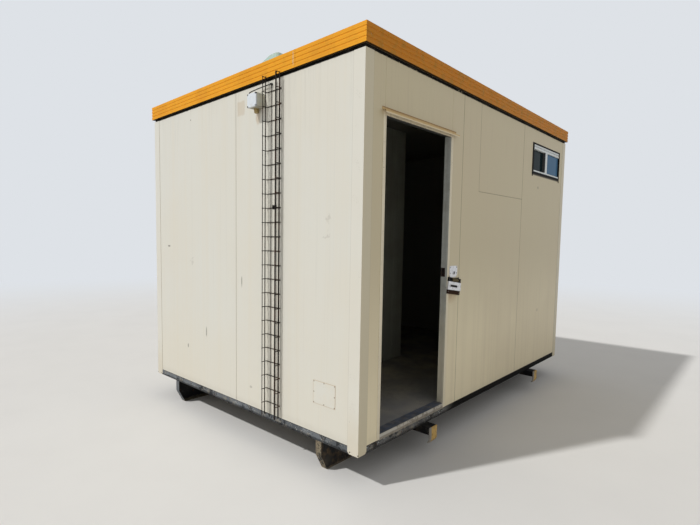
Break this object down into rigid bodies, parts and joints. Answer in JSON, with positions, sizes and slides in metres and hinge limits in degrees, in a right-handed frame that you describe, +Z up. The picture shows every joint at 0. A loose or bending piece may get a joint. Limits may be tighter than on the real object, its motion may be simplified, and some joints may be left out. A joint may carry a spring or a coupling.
{
  "type": "portable site cabin",
  "caption": "Flat-roofed portable cabin of insulated panels on steel skids, with an open doorway, a high sliding window, an orange fascia and a wire tray up one end.",
  "frame": {"origin": "centre of the bounding box at ground level", "axes": "+X to the right along the front wall, the one with the doorway; +Y to the back; +Z up"},
  "size_m": [3.698, 2.55, 2.8],
  "materials": {
    "skid_steel": "worn satin",
    "beam_steel": "worn satin",
    "stop_paint": "worn paint",
    "frame_steel": "worn paint",
    "floor_sheet": "worn vinyl",
    "wall_paint": "satin",
    "trim_paint": "satin",
    "screen_paint": "satin",
    "roof_sheet": "satin",
    "black_paint": "matte",
    "fascia_paint": "satin",
    "cowl_plastic": "weathered",
    "jamb_paint": "worn satin",
    "sill_steel": "scuffed",
    "drip_paint": "faded, rusty edge",
    "lock_metal": "scuffed",
    "window_dark": "satin",
    "window_white": "satin",
    "window_glass": "clear",
    "tray_wire": "matte",
    "box_plastic": "weathered",
    "lid_plastic": "weathered",
    "cable_black": "matte"
  },
  "bodies": {
    "root": {"skid_front": "skid_steel", "skid_back": "skid_steel", "lifting_beam_left": "beam_steel", "lifting_beam_right": "beam_steel", "sling_stops": "stop_paint", "floor_frame": "frame_steel", "floor_deck": "floor_sheet", "front_wall_hinge_side": "wall_paint", "front_wall_over_door": "wall_paint", "front_wall_lock_side": "wall_paint", "front_wall_middle": "wall_paint", "front_wall_infill": "wall_paint", "front_wall_window_panel": "wall_paint", "left_wall_front": "wall_paint", "left_wall_back": "wall_paint", "right_wall_front": "wall_paint", "right_wall_back": "wall_paint", "back_wall_left": "wall_paint", "back_wall_middle": "wall_paint", "back_wall_right": "wall_paint", "cover_plate": "wall_paint", "corner_trim_front_left": "trim_paint", "corner_trim_front_right": "trim_paint", "corner_trim_back_left": "trim_paint", "corner_trim_back_right": "trim_paint", "screen_wall": "screen_paint", "roof_panel_left": "roof_sheet", "roof_panel_middle": "roof_sheet", "roof_panel_right": "roof_sheet", "top_ring": "black_paint", "fascia_front": "fascia_paint", "fascia_back": "fascia_paint", "fascia_left": "fascia_paint", "fascia_right": "fascia_paint", "cowl_cap": "cowl_plastic", "cowl_throat": "cowl_plastic", "door_jamb_hinge_side": "jamb_paint", "door_jamb_lock_side": "jamb_paint", "door_head": "jamb_paint", "door_sill": "sill_steel", "door_drip": "drip_paint", "strike_plate": "lock_metal", "lock_plate": "lock_metal", "lock_guard": "lock_metal", "window_surround": "window_dark", "window_frame": "window_white", "window_pane_left": "window_glass", "window_pane_right": "window_glass", "wire_tray": "tray_wire", "junction_box": "box_plastic", "junction_box_lid": "lid_plastic", "junction_lead": "cable_black"}
  },
  "joints": []
}
